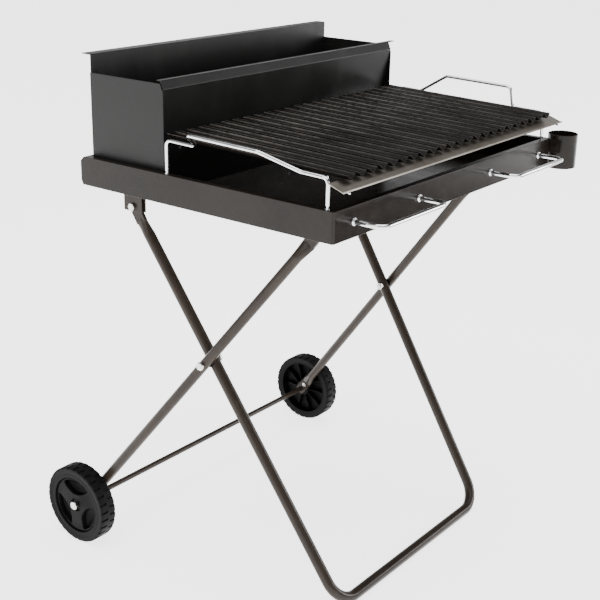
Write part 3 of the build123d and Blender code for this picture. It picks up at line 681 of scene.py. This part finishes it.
@dataclass
class GrillRack:
    """Ridged bars on two cross rods, carried by two bent side wires with grips."""

    shop: Workshop
    wire: float = 3 * MM
    bend: float = 11 * MM
    neck: float = 2 * MM
    collar: float = 3.6 * MM
    collar_height: float = 1.6 * MM
    pin_below: float = 11.4 * MM
    neck_height: float = 6 * MM
    slope: float = RACK_SLOPE
    grip_start: float = 50 * MM
    grip_ramp: float = 58 * MM
    grip_length: float = 140 * MM
    grip_lean: float = 6 * MM
    grip_height: float = 37 * MM

    def side_wire(self, side: str, turn: int, tilt: float) -> None:
        """Bend one side wire.

        Args:
            side: left or right.
            turn: 1 with the long ramp at the back, -1 with it at the front.
            tilt: lean of the grip outwards, in degrees.
        """
        node = "rack_wire_" + side
        low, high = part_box(node)
        outward = 1.0 if side == "right" else -1.0
        inner = low.x + self.collar if side == "right" else high.x - self.collar
        rear, front = high.y - max(self.wire, self.collar), low.y + max(self.wire, self.collar)
        rim = low.z + self.pin_below
        middle = (rear + front) / 2
        crown = high.z - self.wire
        out = self.grip_height * math.sin(math.radians(tilt)) * outward
        up = self.grip_height * math.cos(math.radians(tilt))
        ramp_foot = middle + turn * (rear - middle - self.grip_start)
        ramp_top = ramp_foot - turn * self.grip_ramp
        drop_top = ramp_top - turn * self.grip_length
        drop_foot = drop_top - turn * self.grip_lean
        peak = max(ramp_top, drop_top)

        def level(y: float) -> float:
            """Height of the sloping run of the wire."""
            return crown - up - (peak - y) * math.sin(self.slope)

        neck_top = rim + self.neck_height
        run = [
            Vector((inner, ramp_foot, level(ramp_foot))),
            Vector((inner + out, ramp_top, level(ramp_top) + up)),
            Vector((inner + out, drop_top, level(drop_top) + up)),
            Vector((inner, drop_foot, level(drop_foot))),
        ]
        if turn < 0:
            run.reverse()
        corners = [Vector((inner, rear, neck_top + 3 * MM)), Vector((inner, rear, level(rear)))]
        corners += run
        corners += [Vector((inner, front, level(front))), Vector((inner, front, neck_top + 3 * MM))]
        path = self.shop.rounded(corners, self.bend, 9)
        radii = [self.wire] * len(path)
        stub = [
            (neck_top, self.wire), (neck_top - 0.6 * MM, self.neck), (rim + self.collar_height, self.neck),
            (rim + self.collar_height, self.collar), (rim + 0.2 * MM, self.collar), (rim, self.neck),
            (low.z + 0.8 * MM, self.neck), (low.z, self.neck * 0.6),
        ]
        head = [Vector((inner, rear, z)) for z, _ in reversed(stub)]
        tail = [Vector((inner, front, z)) for z, _ in stub]
        path = head + path + tail
        radii = [r for _, r in reversed(stub)] + radii + [r for _, r in stub]
        mesh = self.shop.tube(path, radii, node + "_bent", 24)
        self.shop.place(mesh, node + "_bent", Slot.CHROME_WIRE, [node])

    def build(self) -> None:
        """Make and dress the rack."""
        self.shop.soften("grill_bars", Slot.SEASONED_STEEL, 0.25 * MM)
        self.shop.soften("rear_cross_rod", Slot.SEASONED_STEEL, 0.4 * MM)
        self.shop.soften("front_cross_rod", Slot.SEASONED_STEEL, 0.4 * MM)
        self.side_wire("right", 1, 0.0)
        self.side_wire("left", -1, 50.0)
        self.shop.soften("gutter_hooks", Slot.CHROME_WIRE, 0.0)


@dataclass
class Gutter:
    """Folded stainless gutter hung in front of the rack."""

    shop: Workshop

    def build(self) -> None:
        """Make and dress the gutter."""
        self.shop.soften("grease_gutter", Slot.STAINLESS, 0.22 * MM, 3, 20.0)


@dataclass
class Legs:
    """U-shaped leg and wheel legs, crossed on two bolts, with the axle tube."""

    shop: Workshop

    def build(self) -> None:
        """Make and dress the legs and their fasteners."""
        for node in ("u_leg_frame", "wheel_leg_tube_left", "wheel_leg_tube_right", "axle_tube"):
            self.shop.soften(node, Slot.LEG_PAINT, 0.0)
        for node in ("cross_bolts", "cross_nuts", "axle_bolts", "catch_pins"):
            self.shop.soften(node, Slot.ZINC, 0.5 * MM, 3)
        self.shop.soften("axle_rivets", Slot.ZINC, 0.5 * MM, 3)
        self.shop.soften("cross_spacers", Slot.BLACK_PLASTIC, 0.8 * MM, 3)


@dataclass
class Wheel:
    """Moulded trolley wheel: lugged tyre, three-spoke outer face, ribbed inner face."""

    shop: Workshop
    side: str
    tyre_depth: float = 12 * MM
    grooves: int = 30
    groove_depth: float = 2.2 * MM
    groove_share: float = 0.26
    shoulder: float = 3.2 * MM
    hub_radius: float = 17 * MM
    recess_radius: float = 13 * MM
    bore: float = 4.1 * MM
    pocket_rim: float = 50 * MM
    pocket_centre: float = 62 * MM
    pocket_radius: float = 40 * MM
    seam_radius: float = 54 * MM
    web_share: float = 0.45
    web: float = 4 * MM
    ribs: int = 10
    rib: float = 2.4 * MM
    lug_wall: float = 0.0045
    seam_rings: tuple[float, ...] = (
        49.4, 50.4, 52.2, 52.9, 53.5, 54.0, 54.5, 55.1, 55.8, 57.5, 58.6, 60, 62.4
    )

    def __post_init__(self) -> None:
        """Read the wheel's place from the CAD tyre."""
        low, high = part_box("tyre_" + self.side)
        self.radius = (high.z - low.z) / 2
        self.centre = Vector((0.0, (low.y + high.y) / 2, (low.z + high.z) / 2))
        self.width = high.x - low.x
        self.outward = 1.0 if self.side == "right" else -1.0
        self.inner_x = low.x if self.side == "right" else high.x

    def at(self, across: float, radius: float, angle: float) -> Vector:
        """A point of the wheel.

        Args:
            across: distance from the inner face outwards.
            radius: distance from the axle.
            angle: turn about the axle.

        Returns:
            The point in the shared frame.
        """
        return Vector((
            self.inner_x + self.outward * across,
            self.centre.y + radius * math.cos(angle),
            self.centre.z + radius * math.sin(angle),
        ))

    def tyre(self) -> None:
        """Mould the tyre with two staggered rows of lugs."""
        w, outer, inner = self.width, self.radius, self.radius - self.tyre_depth
        s = self.shoulder
        profile = [(1 * MM, inner), (0.4 * MM, inner + 3 * MM), (0.0, inner + 5 * MM), (0.0, outer - s)]
        profile += [(s * (1 - math.cos(a)), outer - s * (1 - math.sin(a)))
                    for a in (math.radians(d) for d in (18, 36, 54, 72, 90))]
        profile += [(w * 0.41, outer), (w * 0.415, outer), (w * 0.585, outer), (w * 0.59, outer)]
        profile += [(w - x, r) for x, r in profile[8::-1]]
        period = TURN / self.grooves
        half = period * self.groove_share / 2
        wall = self.lug_wall
        marks = (0.0, half - wall, half + wall, period / 2 - half - wall, period / 2 - half + wall,
                 period / 2, period / 2 + half - wall, period / 2 + half + wall,
                 period - half - wall, period - half + wall)
        rows = []
        for groove in range(self.grooves):
            for mark in marks:
                row = []
                phase = mark / period
                near = min(phase, 1 - phase) * period
                far = abs(phase - 0.5) * period
                for across, radius in profile:
                    cut = 0.0
                    on_tread = radius > outer - s * 0.72
                    if on_tread and across < w * 0.412 and near < half:
                        cut = self.groove_depth
                    if on_tread and across > w * 0.588 and far < half:
                        cut = self.groove_depth
                    row.append(self.at(across, radius - cut, groove * period + mark))
                rows.append(row)
        rows.append(rows[0])
        mesh = self.shop.grid(rows, "tyre_" + self.side + "_lugged", True, False)
        self.finish_mesh(mesh, "tyre_" + self.side + "_lugged", Slot.TREAD, "tyre_" + self.side)

    def finish_mesh(self, mesh: bpy.types.Mesh, name: str, slot: Slot, node: str) -> None:
        """Weld, turn outwards, smooth and place one wheel mesh.

        Args:
            mesh: the raw skin.
            name: the piece's name.
            slot: its material slot.
            node: the CAD node it stands for.
        """
        work = bmesh.new()
        work.from_mesh(mesh)
        bmesh.ops.remove_doubles(work, verts=work.verts, dist=0.000002)
        bmesh.ops.recalc_face_normals(work, faces=work.faces)
        work.to_mesh(mesh)
        work.free()
        self.shop.smooth(mesh, 34.0)
        self.shop.place(mesh, name, slot, [node])

    def step(self, value: float, low: float, high: float) -> float:
        """Smooth step from 0 at low to 1 at high."""
        t = min(1.0, max(0.0, (value - low) / (high - low)))
        return t * t * (3 - 2 * t)

    def outer_face(self, radius: float, angle: float) -> float:
        """Height of the outer face above the wheel's inner side.

        Args:
            radius: distance from the axle.
            angle: turn about the axle.

        Returns:
            Distance from the inner face outwards.
        """
        top = self.width - 2.2 * MM - 1.2 * MM * self.step(radius, 20 * MM, 46 * MM)
        if radius > self.seam_radius:
            top = self.width - 0.9 * MM
        seam = 1 - self.step(abs(radius - self.seam_radius), 0.5 * MM, 1.3 * MM)
        top -= 2.4 * MM * seam
        cut = 0.0
        for spoke in range(3):
            toward = math.radians(-90 + 120 * spoke) + (0 if self.outward > 0 else math.pi)
            dy = radius * math.cos(angle) - self.pocket_centre * math.cos(toward)
            dz = radius * math.sin(angle) - self.pocket_centre * math.sin(toward)
            inside = self.pocket_radius - math.hypot(dy, dz)
            edge = min(inside, self.pocket_rim - radius)
            cut = max(cut, self.step(edge, 0.0, 2.2 * MM) * (0.75 + 0.25 * self.step(edge, 2 * MM, 12 * MM)))
        floor = self.width * self.web_share + self.web
        top -= (top - floor) * cut
        if radius < self.recess_radius:
            top = self.width - 2.2 * MM - 3.4 * MM * self.step(self.recess_radius - radius, 0.0, 1.2 * MM)
        return top

    def inner_face(self, radius: float, angle: float) -> float:
        """Height of the ribbed inner face above the wheel's inner side.

        Args:
            radius: distance from the axle.
            angle: turn about the axle.

        Returns:
            Distance from the inner face outwards.
        """
        web = self.width * self.web_share
        pitch = TURN / self.ribs
        off = abs((angle + pitch / 2) % pitch - pitch / 2) * radius
        rib = 1 - self.step(off, self.rib * 0.42, self.rib * 0.75)
        rise = (web - 3 * MM - 3 * MM * self.step(radius, 24 * MM, 52 * MM)) * rib
        hub = 1 - self.step(radius, self.hub_radius - 0.8 * MM, self.hub_radius + 0.4 * MM)
        rim = self.radius - self.tyre_depth
        edge = self.step(radius, rim - 5.4 * MM, rim - 4.4 * MM)
        return web - max(rise, web * hub, (web - 1 * MM) * edge)

    def hub(self) -> None:
        """Mould the hub as two relief faces joined at bore and rim."""
        outer = self.radius - self.tyre_depth
        spans = [self.bore, 8 * MM, 11.6 * MM, 13 * MM, 16 * MM, 17.6 * MM, 22 * MM]
        spans += [(24 + 1.6 * n) * MM for n in range(16)]
        spans += [r * MM for r in self.seam_rings]
        spans.append(outer)
        slices = 240
        rows = []
        for index in range(slices):
            angle = TURN * index / slices
            front = [self.at(self.outer_face(r, angle), r, angle) for r in spans]
            back = [self.at(self.inner_face(r, angle), r, angle) for r in reversed(spans)]
            rows.append(front + back)
        rows.append(rows[0])
        mesh = self.shop.grid(rows, "wheel_hub_" + self.side + "_moulded", True, False)
        name = "wheel_hub_" + self.side + "_moulded"
        self.finish_mesh(mesh, name, Slot.BLACK_PLASTIC, "wheel_hub_" + self.side)

    def build(self) -> None:
        """Make and dress the wheel."""
        self.tyre()
        self.hub()


# ------------------------------------------------------------------ studio
@dataclass
class Studio:
    """Pale floor, soft lights and the camera."""

    stand_off: Point = (-1.6616, -1.2120, 1.2028)
    turn: float = -52.7
    down: float = 20.0
    roll: float = 1.22
    lens: float = 70.5
    floor_size: float = 60.0
    floor_glow: float = 3.0
    card_place: tuple[float, float] = (1.75, -1.65)
    card_radius: float = 0.95

    def camera(self) -> None:
        """Set up the camera."""
        yaw, pitch, roll = (math.radians(a) for a in (self.turn, self.down, self.roll))
        ahead = Vector((-math.sin(yaw) * math.cos(pitch), math.cos(yaw) * math.cos(pitch), -math.sin(pitch)))
        right = Vector((math.cos(yaw), math.sin(yaw), 0.0))
        upward = right.cross(ahead)
        side = right * math.cos(roll) + upward * math.sin(roll)
        top = upward * math.cos(roll) - right * math.sin(roll)
        data = bpy.data.cameras.new("studio_camera")
        data.lens = self.lens
        data.sensor_width = 36.0
        data.clip_end = 200.0
        low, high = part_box("tray_pan")
        middle = (low + high) / 2
        place = (middle.x + self.stand_off[0], middle.y + self.stand_off[1], self.stand_off[2])
        eye = bpy.data.objects.new("studio_camera", data)
        eye.matrix_world = Matrix((
            (side.x, top.x, -ahead.x, place[0]),
            (side.y, top.y, -ahead.y, place[1]),
            (side.z, top.z, -ahead.z, place[2]),
            (0.0, 0.0, 0.0, 1.0),
        ))
        bpy.context.scene.collection.objects.link(eye)
        bpy.context.scene.camera = eye

    def floor(self) -> None:
        """Lay the pale floor, with a dark card to the right that the front wall reflects."""
        work = bmesh.new()
        bmesh.ops.create_grid(work, x_segments=8, y_segments=8, size=self.floor_size / 2)
        mesh = bpy.data.meshes.new("floor")
        work.to_mesh(mesh)
        work.free()
        card = bpy.data.objects.new("floor", mesh)
        bpy.context.scene.collection.objects.link(card)
        graph = Graph("floor_card")
        along = graph.axis("X") - self.card_place[0]
        across = graph.axis("Y") - self.card_place[1]
        away = (along * along + across * across) ** 0.5
        paper = graph.blend(graph.noise(2.0, 3.0), (0.93, 0.93, 0.93), (0.9, 0.9, 0.9))
        tone = graph.blend(away.ramp(self.card_radius, self.card_radius + 0.5), (0.02, 0.02, 0.02), paper)
        graph.surface(
            Base_Color=tone, Roughness=0.9, Metallic=0.0, Emission_Color=tone,
            Emission_Strength=self.floor_glow,
        )
        mesh.materials.append(graph.material)

    def light(self, name: str, place: Point, aim: Point, size: tuple[float, float], power: float) -> None:
        """Hang one softbox.

        Args:
            name: the light's name.
            place: where it hangs.
            aim: the point it faces.
            size: width and height.
            power: watts.
        """
        data = bpy.data.lights.new(name, "AREA")
        data.shape = "RECTANGLE"
        data.size, data.size_y = size
        data.energy = power
        lamp = bpy.data.objects.new(name, data)
        lamp.location = place
        lamp.rotation_euler = (Vector(aim) - Vector(place)).to_track_quat("-Z", "Y").to_euler()
        bpy.context.scene.collection.objects.link(lamp)

    def world(self) -> None:
        """Surround everything with a pale room with a dark band high on its walls."""
        room = bpy.data.worlds.new("room")
        room.use_nodes = True
        nodes, links = room.node_tree.nodes, room.node_tree.links
        place = nodes.new("ShaderNodeTexCoord")
        split = nodes.new("ShaderNodeSeparateXYZ")
        ramp = nodes.new("ShaderNodeValToRGB")
        stops = ((0.0, 0.25), (0.1, 0.9), (0.4, 0.9), (0.52, 0.04), (0.68, 0.04), (0.8, 1.1))
        for _ in range(4):
            ramp.color_ramp.elements.new(0.5)
        for element, (where, level) in zip(ramp.color_ramp.elements, stops):
            element.position = where
            element.color = (level, level, level * 1.01, 1.0)
        links.new(place.outputs["Generated"], split.inputs[0])
        links.new(split.outputs["Z"], ramp.inputs[0])
        links.new(ramp.outputs[0], nodes["Background"].inputs[0])
        nodes["Background"].inputs[1].default_value = 1.0
        bpy.context.scene.world = room

    def build(self) -> None:
        """Make the whole studio."""
        self.camera()
        self.floor()
        self.world()
        middle = (0.0, 0.0, 0.5)
        self.light("overhead", (-0.3, -0.2, 3.2), middle, (3.0, 3.0), 70.0)
        self.light("left_box", (-3.2, 0.6, 1.9), middle, (1.6, 2.2), 30.0)
        self.light("front_box", (3.0, -2.6, 1.25), middle, (1.6, 0.9), 55.0)


def finish_set() -> dict[Slot, bpy.types.Material]:
    """Make one material for each slot.

    Returns:
        The materials by slot.
    """
    low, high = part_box("grill_bars")
    rear = (0.0, high.y, high.z)
    finishes = {
        Slot.TRAY_PAINT: GlossPaint(
            "brown_stove_enamel", (0.0085, 0.0065, 0.0050), (0.0125, 0.0095, 0.0074)
        ),
        Slot.LEG_PAINT: GlossPaint(
            "bronze_leg_enamel", (0.020, 0.0148, 0.0112), (0.029, 0.0215, 0.0165)
        ),
        Slot.EMBER_PAINT: PowderCoat("black_heat_coat", (0.0085, 0.0085, 0.0082), (0.014, 0.014, 0.013)),
        Slot.CHROME_WIRE: PlatedMetal(
            "bright_chrome", (0.86, 0.87, 0.88), (0.70, 0.71, 0.73), 0.06, 0.06
        ),
        Slot.ZINC: PlatedMetal("zinc_plate", (0.72, 0.72, 0.70), (0.5, 0.5, 0.48), 0.26, 0.16, 140.0),
        # the third colour is bare steel: worn crests plus a painted highlight towards the rear
        Slot.SEASONED_STEEL: SeasonedSteel(
            "seasoned_grill_steel", (0.0040, 0.0030, 0.0024), (0.0095, 0.0070, 0.0054), (0.12, 0.112, 0.104),
            rear, RACK_SLOPE, high.y - low.y,
        ),
        Slot.STAINLESS: BrushedSheet("brushed_stainless", (0.36, 0.325, 0.285), (0.19, 0.155, 0.12)),
        Slot.BLACK_PLASTIC: MouldedPlastic(
            "black_hub_plastic", (0.0018, 0.0018, 0.002), (0.0045, 0.0045, 0.0048)
        ),
        Slot.TREAD: MouldedPlastic(
            "black_tyre_plastic", (0.0045, 0.0045, 0.0048), (0.0105, 0.0105, 0.0105), 0.5, 900.0, 0.5
        ),
    }
    return {slot: finish.build() for slot, finish in finishes.items()}


def main() -> None:
    """Build and dress the whole trolley, then set up the studio."""
    logging.basicConfig(level=logging.INFO, format="%(message)s")
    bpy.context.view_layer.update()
    shop = Workshop(finish_set())
    for part in (
        Tray(shop),
        EmberBox(shop),
        GrillRack(shop),
        Gutter(shop),
        Legs(shop),
        Wheel(shop, "left"),
        Wheel(shop, "right"),
    ):
        part.build()
        log.info("%s done", type(part).__name__)
    Studio().build()


if __name__ == "__main__":
    main()
